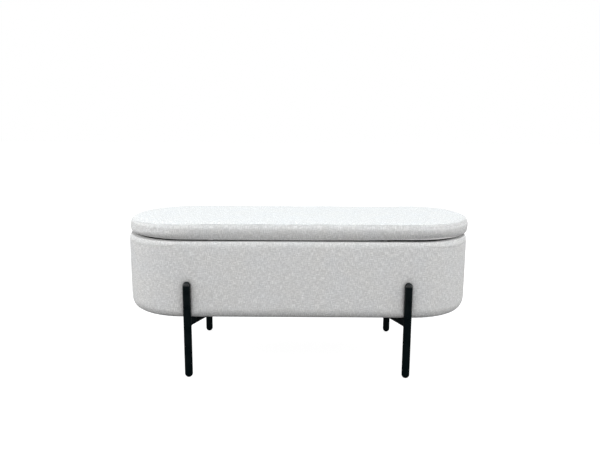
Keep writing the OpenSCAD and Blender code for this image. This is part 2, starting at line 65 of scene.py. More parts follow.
front_low, front_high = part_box("front_wall")
wall_out, wall_in = -front_low.y, -front_high.y
wall_low, wall_high = front_low.z, front_high.z
floor_low, floor_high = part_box("bottom_board")
floor_out = floor_high.y
board_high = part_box("lid_board")[1]
board_out = board_high.y
lining_off = 1 * MM                      # from a board's face to the lining's cloth
lining_in = -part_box("cavity_lining")[0].y - lining_off
lining_floor = floor_high.z + lining_off
dust_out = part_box("dust_cover")[1].y
lid_lining_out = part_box("lid_lining")[1].y

leg_low, leg_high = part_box("front_right_leg")
leg_x = (leg_low.x + leg_high.x) / 2
leg_y = -(leg_low.y + leg_high.y) / 2
leg_r = (leg_high.x - leg_low.x) / 2
leg_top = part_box("leg_caps")[1].z
rail_low, rail_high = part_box("right_leg_rail")
rail_half_w = 7.5 * MM
rail_x = rail_low.x + rail_half_w        # middle of the rail's straight stretch
arm_angle = math.radians(23)             # how far the rail's arms turn out to the legs

# Distances round the outline, from the back's middle by the left end to the front and the right end
END = math.pi * reach
KNOTS = np.cumsum([0, run, END, 2 * run, END, run])
LOOP = KNOTS[-1]
LEGS = {
    "rear_left": leg_x,
    "front_left": KNOTS[2] + run - leg_x,
    "front_right": KNOTS[2] + run + leg_x,
    "rear_right": LOOP - leg_x,
}
ENDS = {"left": (KNOTS[1] + KNOTS[2]) / 2, "right": (KNOTS[3] + KNOTS[4]) / 2}
TO_FRONT = {"left": 1, "right": -1}      # which way round the front lies from each end


# ---- Shape functions ----

def centre_and_turn(s):
    """Where the outline's distance s is: the point on the centre line and the outward direction. The point
    slides along the straight runs and waits at the round ends. The direction waits along the runs and turns
    evenly at the ends."""
    x = np.interp(s % LOOP, KNOTS, [0, -run, -run, run, run, 0])
    turn = np.interp(s % LOOP, KNOTS, [0.5, 0.5, 1.5, 1.5, 2.5, 2.5]) * math.pi
    return x, np.cos(turn), np.sin(turn)


def carried(s, rho, z, slip=0.0):
    """Points of a profile carried round the oval: the centre-line point plus rho times the outward direction,
    at the height z, with the whole moved by slip along the bench."""
    x, out_x, out_y = centre_and_turn(s)
    return np.stack(np.broadcast_arrays(x + slip + rho * out_x, rho * out_y, z), axis=-1)


def away(s, spot):
    """Signed distance round the outline from spot to s, the short way."""
    return (s - spot + LOOP / 2) % LOOP - LOOP / 2


def bell(t, width):
    """exp(-(t / width) squared)."""
    return np.exp(-(t / width) ** 2)


def ease(t, start, stop):
    """0 before start and 1 after stop, with a cubic between them."""
    u = np.clip((t - start) / (stop - start), 0, 1)
    return u * u * (3 - 2 * u)


def stations(count, spots=(), closeness=3.0, spread=30 * MM):
    """count distances round the outline, closer together near the spots: the running sum of a density, 1 plus
    a bell round each spot, is inverted."""
    fine = np.linspace(0, LOOP, 6001)
    density = np.ones_like(fine)
    for spot in spots:
        density += closeness * bell(away(fine, spot), spread)
    total = np.concatenate([[0], np.cumsum((density[1:] + density[:-1]) / 2)])
    return np.interp(np.arange(count) / count * total[-1], total, fine)


def ripple(s, z, seed, turns, slope):
    """Soft unevenness, about -1 to 1: the mean of some cosine waves, each with a whole number of turns round
    the outline and a random slope up the side, times the square root of half their count."""
    draw = np.random.default_rng(seed)
    count = 10
    total = 0
    for _ in range(count):
        waves = draw.integers(turns[0], turns[1])
        tilt, phase = draw.uniform(-slope, slope), draw.uniform(0, 2 * math.pi)
        total = total + np.cos(2 * math.pi * waves * s / LOOP + tilt * z + phase)
    return total / count * math.sqrt(count / 2)


def pleats(s, spacing):
    """Evenly spaced gathers of a turned edge, at the round ends only."""
    round_end = 1 - ease(np.abs(centre_and_turn(s)[2]), 0.985, 1.0)
    return round_end * np.maximum(np.cos(away(s, ENDS["left"]) / spacing * 2 * math.pi), 0) ** 3


def straight(start, stop, count):
    """count points from start towards stop, without stop."""
    return np.linspace(start, stop, count, endpoint=False)


def arc(centre, radii, start, stop, count):
    """count points of an ellipse arc between two angles in degrees, without the last."""
    a = np.radians(np.linspace(start, stop, count, endpoint=False))
    return np.stack([centre[0] + radii[0] * np.cos(a), centre[1] + radii[1] * np.sin(a)], axis=1)


def lengths(profile):
    """Distance along a profile to each of its points."""
    return np.concatenate([[0], np.cumsum(np.linalg.norm(np.diff(profile, axis=0), axis=1))])


def smaller(a, b, blend):
    """The smaller of a and b, rounded off where they differ by less than blend."""
    gap = np.clip(1 - np.abs(a - b) / blend, 0, 1)
    return np.minimum(a, b) - gap * gap * blend / 4


def joined(shown, hidden):
    """A closed profile of a stretch that shows and one that lies on the boards, and which points show."""
    profile = np.concatenate([shown, hidden])
    return profile, (np.arange(len(profile)) < len(shown))[:, None]


# ---- Meshes ----

def grid_mesh(name, points, weave, wrap_rows=False, weld=False):
    """A piece of quads between neighbouring rows and columns of a grid of points. Its columns close round the
    oval. weave holds the cloth's own coordinates, with one more row or column than points where the grid
    closes."""
    rows, cols = points.shape[:2]
    r = np.arange(rows if wrap_rows else rows - 1)[:, None]
    c = np.arange(cols)[None, :]
    r, c = np.broadcast_arrays(r, c)
    corner_r = np.stack([r, r, r + 1, r + 1], axis=-1)
    corner_c = np.stack([c, c + 1, c + 1, c], axis=-1)
    quads = (corner_r % rows) * cols + corner_c % cols
    mesh = bpy.data.meshes.new(name)
    mesh.from_pydata(points.reshape(-1, 3), [], quads.reshape(-1, 4))
    layer = mesh.uv_layers.new(name="weave")
    layer.data.foreach_set("uv", weave[corner_r, corner_c].astype(np.float32).ravel())
    return finished(name, mesh, weld)


def finished(name, mesh, weld):
    """The mesh as a smooth piece in the scene; weld closes its poles and seams."""
    if weld:
        shape = bmesh.new()
        shape.from_mesh(mesh)
        bmesh.ops.remove_doubles(shape, verts=shape.verts, dist=0.002 * MM)
        shape.to_mesh(mesh)
        shape.free()
    mesh.polygons.foreach_set("use_smooth", np.ones(len(mesh.polygons), bool))
    mesh.update()
    piece = bpy.data.objects.new(name, mesh)
    bpy.context.scene.collection.objects.link(piece)
    return piece


def round_weave(s, along):
    """Cloth coordinates round the outline and along the profile, with the closing row and column."""
    across = np.concatenate([s, [LOOP]])
    along = np.concatenate([along, [along[-1] + 1 * MM]])
    return np.stack(np.broadcast_arrays(across[None, :], along[:, None]), axis=-1)


def flat_weave(s, rho):
    """Cloth coordinates of an oval laid flat, rho from the centre line, with the closing column."""
    x, out_x, out_y = centre_and_turn(np.concatenate([s, [LOOP]]))
    return np.stack([x + rho * out_x, rho * out_y], axis=-1)


def spindles(name, middles, along, side, path, radius):
    """Many small bent wires in one piece. path is the wire's middle line as (along, up) points, radius its
    thickness at each point, and every wire has six sides and closed ends."""
    sides = 6
    turn = np.arange(sides) / sides * 2 * math.pi
    up = np.cross(along, side)
    line = path[None, :, 0, None] * along[:, None] + path[None, :, 1, None] * up[:, None]
    ring = (np.cos(turn)[:, None] * side[:, None, None] + np.sin(turn)[:, None] * up[:, None, None])
    points = (middles[:, None] + line)[:, :, None] + radius[None, :, None, None] * ring
    count, rows, cols = points.shape[:3]
    r, c = np.meshgrid(np.arange(rows - 1), np.arange(sides), indexing="ij")
    corners = [(r, c), (r, c + 1), (r + 1, c + 1), (r + 1, c)]
    one = np.stack([i * sides + j % sides for i, j in corners], axis=-1)
    quads = one.reshape(1, -1, 4) + (np.arange(count) * rows * cols)[:, None, None]
    mesh = bpy.data.meshes.new(name)
    mesh.from_pydata(points.reshape(-1, 3), [], quads.reshape(-1, 4))
    return finished(name, mesh, True)


# ---- Materials ----

def put(tree, kind, settings=None, **sockets):
    """Adds a shader node, with its settings, and with values or links on its sockets: s and a number is the
    socket of that number, and any other word is the socket's name."""
    made = tree.nodes.new("ShaderNode" + kind)
    for key, value in (settings or {}).items():
        setattr(made, key, value)
    for key, value in sockets.items():
        socket = made.inputs[int(key[1:])] if key[1:].isdigit() else made.inputs[key.replace("_", " ")]
        if isinstance(value, bpy.types.NodeSocket):
            tree.links.new(value, socket)
        else:
            socket.default_value = value
    return made


def maths(tree, operation, a, b=0.5, c=0.5):
    """The result of a Math node on values or links."""
    return put(tree, "Math", {"operation": operation}, s0=a, s1=b, s2=c).outputs[0]


def noise(tree, place, scale, detail=3.0, rough=0.5):
    """Soft noise, about 0.3 to 0.7, with scale as its marks to the metre."""
    return put(tree, "TexNoise", Vector=place, Scale=scale, Detail=detail, Roughness=rough).outputs["Fac"]


def stretched(tree, place, scale, turn=(0, 0, 0)):
    """The place, turned and scaled along each axis."""
    return put(tree, "Mapping", Vector=place, Scale=scale, Rotation=turn).outputs[0]


def ramp(tree, value, stops):
    """A colour ramp with stops of (position, colour)."""
    made = put(tree, "ValToRGB", Fac=value)
    while len(made.color_ramp.elements) < len(stops):
        made.color_ramp.elements.new(0.5)
    for element, (position, colour) in zip(made.color_ramp.elements, stops):
        element.position = position
        element.color = (*colour, 1)
    return made.outputs["Color"]


def spread(tree, value, low, high, out_low, out_high):
    """value, taken from low..high to out_low..out_high."""
    made = put(tree, "MapRange", Value=value)
    for key, number in zip(("From Min", "From Max", "To Min", "To Max"), (low, high, out_low, out_high)):
        made.inputs[key].default_value = number
    return made.outputs[0]


def new_material(name, **constants):
    """A material with one Principled shader, whose uniform values are set on its own sockets."""
    material = bpy.data.materials.new(name)
    material.use_nodes = True
    shader = material.node_tree.nodes["Principled BSDF"]
    for key, value in constants.items():
        shader.inputs[key.replace("_", " ")].default_value = value
    return material, material.node_tree, shader


def finish_with(tree, shader, colour, rough, height, depth):
    """Links the colour, roughness and bump of a material to its shader."""
    tree.links.new(colour, shader.inputs["Base Color"])
    tree.links.new(rough, shader.inputs["Roughness"])
    bump = put(tree, "Bump", Height=height, Distance=depth, Strength=1.0)
    tree.links.new(bump.outputs[0], shader.inputs["Normal"])


def threads(tree, place, pitch):
    """A plain weave: the heights of warp and weft. Each is a rounded ridge across its thread, and it rises at
    every second crossing, where the other dips."""
    ridge, rise = 0.5, 0.45
    parts = put(tree, "SeparateXYZ", Vector=place)
    sin_x = maths(tree, "SINE", maths(tree, "MULTIPLY", parts.outputs[0], math.pi / pitch))
    sin_y = maths(tree, "SINE", maths(tree, "MULTIPLY", parts.outputs[1], math.pi / pitch))
    over = maths(tree, "MULTIPLY", sin_x, sin_y)
    warp_ridge = maths(tree, "MULTIPLY", maths(tree, "ABSOLUTE", sin_x), ridge)
    weft_ridge = maths(tree, "MULTIPLY", maths(tree, "ABSOLUTE", sin_y), ridge)
    warp = maths(tree, "MULTIPLY_ADD", over, rise, warp_ridge)
    weft = maths(tree, "MULTIPLY_ADD", over, -rise, weft_ridge)
    return warp, weft


def yarn_marks(tree, cloth, along, across):
    """Noise drawn out along the weft and along the warp: its marks to the metre along a yarn and across."""
    weft = noise(tree, stretched(tree, cloth, (along, across, 1)), 1.0, 2.0)
    warp = noise(tree, stretched(tree, cloth, (across, along, 1)), 1.0, 2.0)
    return weft, warp


def woven_cover(name, tones):
    """Light linen-look upholstery: a plain weave of uneven yarns, with thick and thin places along each yarn
    and a faint warm and cool drift over the cloth."""
    pitch = 1.15 * MM
    material, tree, shader = new_material(name, Sheen_Weight=0.18, Sheen_Roughness=0.45, IOR=1.4,
                                          Specular_IOR_Level=0.25)
    cloth = put(tree, "UVMap", {"uv_map": "weave"}).outputs[0]
    warp, weft = threads(tree, cloth, pitch)
    weft_run, warp_run = yarn_marks(tree, cloth, 90, 870)
    weft_slub, warp_slub = yarn_marks(tree, cloth, 75, 600)
    showing = spread(tree, maths(tree, "SUBTRACT", warp, weft), -0.25, 0.25, 0, 1)
    yarn = put(tree, "Mix", {"data_type": "FLOAT"}, Factor=showing, s2=weft_run, s3=warp_run).outputs[0]
    slubs = maths(tree, "MULTIPLY", maths(tree, "ADD", weft_slub, warp_slub), 0.5)
    fuzz = noise(tree, cloth, 2600, 2.0)
    tone = maths(tree, "MULTIPLY_ADD", slubs, 0.9, maths(tree, "MULTIPLY", yarn, 0.55))
    tone = maths(tree, "MULTIPLY_ADD", fuzz, 0.25, tone)
    colour = ramp(tree, spread(tree, tone, 0.845, 0.925, 0, 1), tones)
    drift = spread(tree, noise(tree, cloth, 14, 3.0), 0.3, 0.7, 0, 1)
    cool_to_warm = ramp(tree, drift, [(0.0, (0.985, 0.993, 1.0)), (1.0, (1.0, 0.995, 0.98))])
    tinted = put(tree, "Mix", {"data_type": "RGBA", "blend_type": "MULTIPLY"}, Factor=0.9, s6=colour,
                 s7=cool_to_warm).outputs[2]
    height = maths(tree, "MULTIPLY_ADD", slubs, 0.9, maths(tree, "MAXIMUM", warp, weft))
    height = maths(tree, "MULTIPLY_ADD", fuzz, 0.25, height)
    finish_with(tree, shader, tinted, spread(tree, slubs, 0.3, 0.7, 0.95, 0.82), height, 0.32 * MM)
    return material


def lining_cloth(name, dark, light):
    """Dark polyester lining: a tight plain weave, with a painted glint: the raised threads are coloured
    lighter.
    """
    pitch = 0.8 * MM
    material, tree, shader = new_material(name, Sheen_Weight=0.1, Sheen_Roughness=0.4)
    cloth = put(tree, "UVMap", {"uv_map": "weave"}).outputs[0]
    warp, weft = threads(tree, cloth, pitch)
    height = maths(tree, "MAXIMUM", warp, weft)
    drift = noise(tree, cloth, 60, 4.0)
    # The weave's height lightens the colour: a painted glint on the raised threads, over a random drift of
    # tone.
    tone = maths(tree, "MULTIPLY_ADD", drift, 0.5, maths(tree, "MULTIPLY", height, 0.5))
    colour = ramp(tree, spread(tree, tone, 0.2, 0.7, 0, 1), [(0.0, dark), (1.0, light)])
    finish_with(tree, shader, colour, spread(tree, drift, 0.3, 0.7, 0.75, 0.9), height, 0.2 * MM)
    return material


def pressed_fibre(name, dark, light):
    """Black spun-bonded dust cloth: matted fibres with a raster of small pressed points."""
    material, tree, shader = new_material(name, Sheen_Weight=0.05, Specular_IOR_Level=0.3)
    cloth = put(tree, "UVMap", {"uv_map": "weave"}).outputs[0]
    fibres = noise(tree, stretched(tree, cloth, (420, 900, 1), (0, 0, 0.5)), 1.0, 5.0, 0.7)
    turned = stretched(tree, cloth, (1, 1, 1), (0, 0, math.pi / 4))
    warp, weft = threads(tree, turned, 1.8 * MM)
    points = spread(tree, maths(tree, "MAXIMUM", warp, weft), 0.35, 0.6, 0, 1)
    height = maths(tree, "MULTIPLY_ADD", fibres, 0.6, points)
    colour = ramp(tree, spread(tree, height, 0.3, 1.4, 0, 1), [(0.0, dark), (1.0, light)])
    finish_with(tree, shader, colour, spread(tree, fibres, 0.3, 0.7, 0.8, 0.95), height, 0.15 * MM)
    return material


def powder_coat(name, colour_low, colour_high):
    """Black powder coat: fine orange peel, slightly uneven gloss and a little dust."""
    material, tree, shader = new_material(name, Specular_IOR_Level=0.15)
    place = put(tree, "TexCoord").outputs["Object"]
    peel = noise(tree, place, 900, 2.0)
    cloud = noise(tree, place, 35, 3.0)
    colour = ramp(tree, spread(tree, cloud, 0.3, 0.7, 0, 1), [(0.0, colour_low), (1.0, colour_high)])
    finish_with(tree, shader, colour, spread(tree, cloud, 0.3, 0.7, 0.24, 0.34), peel, 0.03 * MM)
    return material


def moulded_plastic(name, colour_low, colour_high):
    """Black moulded plastic with a fine spark-eroded grain."""
    material, tree, shader = new_material(name, Specular_IOR_Level=0.32)
    place = put(tree, "TexCoord").outputs["Object"]
    grain = noise(tree, place, 2200, 3.0, 0.6)
    cloud = noise(tree, place, 50, 2.0)
    colour = ramp(tree, spread(tree, cloud, 0.3, 0.7, 0, 1), [(0.0, colour_low), (1.0, colour_high)])
    finish_with(tree, shader, colour, spread(tree, grain, 0.3, 0.7, 0.16, 0.24), grain, 0.02 * MM)
    return material


def plated_steel(name):
    """Zinc-plated steel: a cool grey metal with a cloudy plating and fine drawn lines."""
    material, tree, shader = new_material(name, Metallic=1.0)
    place = put(tree, "TexCoord").outputs["Object"]
    cloud = noise(tree, place, 120, 4.0)
    lines = noise(tree, stretched(tree, place, (60, 2400, 2400)), 1.0, 2.0)
    tones = [(0.0, (0.5, 0.51, 0.52)), (1.0, (0.66, 0.67, 0.68))]
    colour = ramp(tree, spread(tree, cloud, 0.3, 0.7, 0, 1), tones)
    finish_with(tree, shader, colour, spread(tree, cloud, 0.3, 0.7, 0.28, 0.44), lines, 0.02 * MM)
    return material


def rubber(name):
    """Matt black rubber with a dusty, slightly pitted face."""
    material, tree, shader = new_material(name, Specular_IOR_Level=0.25)
    place = put(tree, "TexCoord").outputs["Object"]
    pits = noise(tree, place, 1500, 3.0)
    cloud = noise(tree, place, 180, 3.0)
    colour = ramp(tree, spread(tree, cloud, 0.3, 0.7, 0, 1), [(0.0, (0.018,) * 3), (1.0, (0.032,) * 3)])
    finish_with(tree, shader, colour, spread(tree, pits, 0.3, 0.7, 0.7, 0.9), pits, 0.08 * MM)
    return material


def plywood(name, grain_scale):
    """Birch plywood: long soft grain along the board, with darker pores."""
    material, tree, shader = new_material(name, Specular_IOR_Level=0.3)
    place = put(tree, "TexCoord").outputs["Object"]
    grain = noise(tree, stretched(tree, place, grain_scale), 1.0, 5.0, 0.6)
    pores = noise(tree, stretched(tree, place, tuple(4 * g for g in grain_scale)), 1.0, 2.0)
    tone = maths(tree, "MULTIPLY_ADD", pores, 0.3, maths(tree, "MULTIPLY", grain, 0.7))
    tones = [(0.0, (0.45, 0.29, 0.16)), (0.5, (0.62, 0.44, 0.26)), (1.0, (0.72, 0.55, 0.36))]
    colour = ramp(tree, spread(tree, tone, 0.3, 0.7, 0, 1), tones)
    finish_with(tree, shader, colour, spread(tree, grain, 0.3, 0.7, 0.55, 0.7), tone, 0.1 * MM)
    return material


def open_foam(name):
    """Cream upholstery foam with open cells."""
    material, tree, shader = new_material(name, Specular_IOR_Level=0.2)
    place = put(tree, "TexCoord").outputs["Object"]
    cells = put(tree, "TexVoronoi", Vector=place, Scale=900.0).outputs["Distance"]
    tones = [(0.0, (0.55, 0.48, 0.33)), (1.0, (0.8, 0.74, 0.58))]
    colour = ramp(tree, spread(tree, cells, 0.1, 0.8, 0, 1), tones)
    finish_with(tree, shader, colour, spread(tree, cells, 0.1, 0.8, 0.9, 0.98), cells, 0.3 * MM)
    return material


LINEN = [(0.0, (0.60, 0.60, 0.60)), (1.0, (0.84, 0.84, 0.84))]
BLACKS = (0.0008, 0.0032, 0.0040), (0.0020, 0.0052, 0.0062)
FINISH = {
    "body_fabric": woven_cover("box cover weave", LINEN),
    "lid_fabric": woven_cover("lid cover weave", LINEN),
    "lining": lining_cloth("cavity lining cloth", (0.035, 0.037, 0.04), (0.085, 0.088, 0.092)),
    "dust_cloth": pressed_fibre("dust cloth", (0.012, 0.012, 0.013), (0.035, 0.035, 0.037)),
    "foam": open_foam("upholstery foam"),
    "plywood": plywood("birch plywood", (6, 90, 90)),
    "black_steel": powder_coat("black powder coat", *BLACKS),
    "black_plastic": moulded_plastic("black moulded plastic", *BLACKS),
    "zinc_steel": plated_steel("zinc-plated steel"),
    "bumper_rubber": rubber("bumper rubber"),
}
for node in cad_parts.values():
    for index, given in enumerate(node.data.materials):
        node.data.materials[index] = FINISH[given.name.split(".")[0]]


def upholster(piece, slot, body, *nodes):
    """Gives a new piece its material, its body and the CAD nodes that it stands for."""
    piece.data.materials.append(FINISH[slot])
    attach(piece, body)
    if nodes:
        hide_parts(*nodes)
    return piece


# ---- Folds ----

def leg_dent(s, z):
    """How deep the padding is pressed in: the leg's own round back where the cover lies on it, and from where
    the cover leaves it, a slope that fades with exp(-distance / fade). Distance is measured across the face
    from the leg's axis, or from the dome's centre above it."""
    tube = leg_r + 0.8 * MM
    stand = leg_y - reach
    fade = 9 * MM
    leave = 5.6 * MM
    depth = 0
    for spot in LEGS.values():
        q = np.hypot(away(s, spot), np.maximum(z - (leg_top - leg_r), 0))
        lying = np.sqrt(np.maximum(tube ** 2 - np.minimum(q, leave) ** 2, 0)) - stand
        depth = np.maximum(depth, lying * np.exp(-np.maximum(q - leave, 0) / fade))
    return depth


def pulls(s, z, spot, height, rays):
    """Tension folds that fan out from a point: along each ray a ridge that starts thin, grows wider and
    fades. A ray is (angle in degrees, length, height)."""
    across, up = away(s, spot), z - height
    total = 0
    for angle, length, lift in rays:
        a = math.radians(angle)
        t = across * math.cos(a) + up * math.sin(a)
        off = up * math.cos(a) - across * math.sin(a)
        width = 3 * MM + 0.10 * np.maximum(t, 0)
        strength = ease(t, 4 * MM, 16 * MM) * np.exp(-np.maximum(t, 0) / length)
        total = total + lift * strength * (bell(off, width) - 0.6 * bell(off + 1.7 * width, width))
    return total


def crease(s, z, start, stop, high, low, lift):
    """A fold that sags between two distances round the outline, from high at its ends to low at its middle: a
    ridge with a groove beneath it, fading out at both ends."""
    ridge_up, ridge_width = 1.5 * MM, 3.2 * MM
    groove_down, groove_width = 3.4 * MM, 2.6 * MM
    u = away(s, (start + stop) / 2) / ((stop - start) / 2)
    line = low + (high - low) * u * u
    strength = np.clip(1 - u * u, 0, 1) ** 0.8
    section = bell(z - line - ridge_up, ridge_width) - bell(z - line + groove_down, groove_width)
    return lift * strength * section


# ---- Box cover and its padding ----

RIM_ROUND, RIM_FALL = 8 * MM, 21 * MM    # the rim's rounding, inwards and down


def box_profile():
    """The padded side in section: out under the box, up the side, over the rim and down behind the lining,
    and then back along the boards. Gives the points, and which of them show."""
    low_round, low_rise = reach - floor_out, 33 * MM
    lip, lip_round, lip_z = 1.5 * MM, 3 * MM, rim_z - 14 * MM
    shown = np.concatenate([
        straight((dust_out, under_z), (floor_out, under_z), 7),
        arc((floor_out, under_z + low_rise), (low_round, low_rise), -90, 0, 18),
        straight((reach, under_z + low_rise), (reach, rim_z - RIM_FALL), 56),
        arc((reach - RIM_ROUND, rim_z - RIM_FALL), (RIM_ROUND, RIM_FALL), 0, 90, 15),
        straight((reach - RIM_ROUND, rim_z), (wall_in + lip, rim_z), 4),
        arc((wall_in + lip, rim_z - lip_round), (lip_round, lip_round), 90, 180, 5),
        straight((wall_in - lip, rim_z - lip_round), (wall_in - lip, lip_z), 4),
    ])
    hidden = np.array([
        (wall_in - lip, lip_z), (wall_in, lip_z), (wall_in, wall_high), (wall_out, wall_high),
        (wall_out, wall_low), (floor_out, wall_low), (floor_out, floor_low.z), (dust_out, floor_low.z),
    ])
    return joined(shown, hidden)


def box_swell(s, z):
    """The side's unevenness: a slight belly, soft waves, the creases that sag under the rim at both sides of
    each round end, and the pulls at the leg tops."""
    swell = 0.9 * MM * np.sin(np.clip((z - under_z) / (rim_z - under_z), 0, 1) * math.pi)
    swell = swell + 0.55 * MM * ripple(s, z, 11, (3, 14), 25)
    swell = swell + 0.16 * MM * ripple(s, z, 12, (24, 60), 90)
    for name, end in ENDS.items():
        for way, share in ((1, 0.5375), (-1, 0.4875)):
            near, far = end + way * 0.04 * END, end + way * share * END
            lift = 1.25 * MM if way == TO_FRONT[name] else 0.8 * MM
            swell = swell + crease(s, z, min(near, far), max(near, far),
                                   rim_z - 6 * MM, rim_z - 17 * MM, lift)
    rays = [(4, 38 * MM, 0.8 * MM), (176, 34 * MM, 0.8 * MM), (-24, 26 * MM, 0.5 * MM),
            (206, 26 * MM, 0.5 * MM), (52, 22 * MM, 0.45 * MM), (131, 20 * MM, 0.45 * MM)]
    for spot in LEGS.values():
        swell = swell + pulls(s, z, spot, leg_top - 4 * MM, rays)
    return swell


def box_cushion():
    """The padded side of the box as one closed form, its section carried round the oval. The side swells and
    is dented by the legs, the turned edge below is gathered at the round ends, and the rim's top dips."""
    profile, shown = box_profile()
    s = stations(640, LEGS.values())
    rho, z = profile[:, :1], profile[:, 1:]
    side = shown * ease(rho, wall_in + 4 * MM, reach - 4 * MM)
    out = smaller(rho + side * box_swell(s, z), reach - leg_dent(s, z) + (1 - shown), 1.2 * MM)
    turned = shown * ease(z, under_z + 6 * MM, under_z) * ease(rho, reach - 2 * MM, floor_out - 6 * MM)
    rim_top = shown * ease(rho, reach - 4 * MM, reach - RIM_ROUND - 2 * MM) * ease(z, rim_z - 2 * MM, rim_z)
    dips = 1.3 * MM + 0.25 * MM * (1 + ripple(s, rho, 13, (10, 40), 200))
    dips = dips + 1.7 * MM * bell(away(s, KNOTS[2] - 0.06 * END), 0.14)
    high = z - turned * pleats(s, 17 * MM) * 0.8 * MM - rim_top * dips
    return grid_mesh("box_cover", carried(s, out, high), round_weave(s, lengths(profile)), wrap_rows=True)


box_cover = upholster(box_cushion(), "body_fabric", "base", "body_cover", "wall_padding")


# ---- Lid ----

GROOVE = (lid_reach - 5.4 * MM, seam_z - 0.9 * MM)    # bottom of the seam's groove, where the two covers meet


def seam_sway(s):
    """How far the seam wanders up and down along its way. It droops at the left end."""
    waver = 0.3 * MM * ripple(s, 0, 21, (2, 9), 1) + 0.12 * MM * ripple(s, 0, 22, (20, 50), 1)
    droop = 5.0 * MM * bell(away(s, ENDS["left"] + 0.2 * END), 0.19)
    lift = 0.9 * MM * bell(away(s, ENDS["right"]), 0.2)
    return waver - (droop - lift)


def top_profile():
    """The lid's top panel in section: out over the board, up to the seam's groove, round a small roll, and
    over the shoulder and a low crown to the centre line. Gives the points, which of them are above the seam,
    and where the crown starts."""
    roll, bulge = 1.1 * MM, 1.2 * MM
    shoulder_in, shoulder_up = 30 * MM, top_z - GROOVE[1] - roll - bulge
    roll_x = GROOVE[0] - 0.1 * MM
    hip = (roll_x + roll, GROOVE[1] + roll)
    crown_r = hip[0] - shoulder_in
    tuck = (GROOVE[0] - 4 * MM, GROOVE[1] - 1.5 * MM)
    under = np.concatenate([
        np.array([(0, board_high.z), (board_out, board_high.z), tuck]),
        straight(tuck, GROOVE, 3)[1:],
    ])
    u = np.linspace(0, 1, 16, endpoint=False)[:, None]
    t = np.linspace(1, 0, 40)[:, None]
    profile = np.concatenate([
        under,
        arc((roll_x, GROOVE[1] + roll), (roll, roll), -90, 0, 6),
        np.concatenate([hip[0] - shoulder_in * u, hip[1] + shoulder_up * (1 - (1 - u) ** 2)], axis=1),
        np.concatenate([crown_r * t, hip[1] + shoulder_up + bulge * (1 - t ** 2)], axis=1),
    ])
    top = (np.arange(len(profile)) >= len(under))[:, None] * 1.0
    return profile, top, crown_r


def crown_uneven(x, y):
    """The crown's unevenness by its place: soft waves, and fuller foam towards the right end's back."""
    uneven = 0.35 * MM * np.cos(x * 21 + 1.1) * np.cos(y * 17 - 0.4)
    uneven = uneven + 0.25 * MM * np.cos(x * 47 - y * 23) + 0.12 * MM * np.cos(x * 90 + y * 71)
    return uneven + 4.5 * MM * bell(x - 0.43, 0.10) * bell(y - 0.07, 0.12)


def lid_top_cushion():
    """The lid's top panel on its foam, closed underneath, its section carried round the oval. Its rows meet
    on the centre line, and its edge is slightly gathered and follows the seam's sway."""
    profile, top, crown_r = top_profile()
    s = stations(560)
    rho, z = profile[:, :1], profile[:, 1:]
    x, out_x, out_y = centre_and_turn(s)
    uneven = crown_uneven(x + rho * out_x, rho * out_y)
    gathers = 0.22 * MM * ripple(s, 0, 31, (60, 150), 1) + 0.35 * MM * ripple(s, 0, 32, (14, 40), 1)
    edge = top * bell(rho - (lid_reach - 7 * MM), 9 * MM)
    near_seam = top * ease(rho, crown_r - 10 * MM, lid_reach) * ease(z, top_z, seam_z)
    high = z + top * ease(rho, lid_reach, lid_reach - 22 * MM) * uneven + edge * gathers
    high = high + (near_seam + (1 - top) * ease(z, board_high.z, seam_z)) * seam_sway(s)
    points = carried(s, rho + 0.6 * edge * gathers, high, lid_slip)
    walked = lengths(profile)[:, None]
    return grid_mesh("lid_top_panel", points, flat_weave(s, walked[-1] - walked), weld=True)


def band_profile():
    """The lid's side band in section: out under the lid, round the tight lower edge, up the leaning side to
    where it is fullest, in to a narrow welt under the seam, and back along the board. Gives the points, which
    of them show, and where the underside ends."""
    full = lid_reach + 0.8 * MM
    lean, side_round, edge_round = 44, 39 * MM, 4 * MM
    top_turn, welt_round = 36, 2 * MM
    leant, turned = math.radians(lean), math.radians(top_turn)
    foot = full - side_round * (1 - math.cos(leant)) - edge_round * math.cos(leant)
    belly_z = lid_z + edge_round * (1 - math.sin(leant)) + side_round * math.sin(leant)
    top_round = (GROOVE[1] - 0.6 * MM - belly_z) / math.sin(turned)
    upper = arc((full - top_round, belly_z), (top_round, top_round), 0, top_turn, 12)
    welt = (upper[-1, 0] - welt_round * math.cos(turned),
            GROOVE[1] - 0.5 * MM - welt_round * math.sin(turned))
    shown = np.concatenate([
        straight((lid_lining_out, lid_z), (foot, lid_z), 7),
        arc((foot, lid_z + edge_round), (edge_round, edge_round), -90, -lean, 9),
        arc((full - side_round, belly_z), (side_round, side_round), -lean, 0, 22),
        upper,
        arc(welt, (welt_round, welt_round), top_turn + 8, 90, 5),
        straight((GROOVE[0] + 0.6 * MM, GROOVE[1] + 0.2 * MM), GROOVE, 2),
    ])
    back = board_out + 0.4 * MM
    hidden = np.array([
        GROOVE, (GROOVE[0] - 4 * MM, GROOVE[1] - 1.6 * MM), (back, board_high.z), (back, lid_z + 4.2 * MM),
        (foot + 4 * MM, lid_z + 2.2 * MM), (foot, lid_z + 1.5 * MM), (lid_lining_out, lid_z + 1.5 * MM),
    ])
    return *joined(shown, hidden), foot


def band_corners(s):
    """How near s is to where the runs turn into the round ends, and most of all at the front."""
    total = 0
    for name, end in ENDS.items():
        step = TO_FRONT[name] * 0.3 * END
        total = total + bell(away(s, end + step), 0.16) + 0.6 * bell(away(s, end - step), 0.12)
    return total


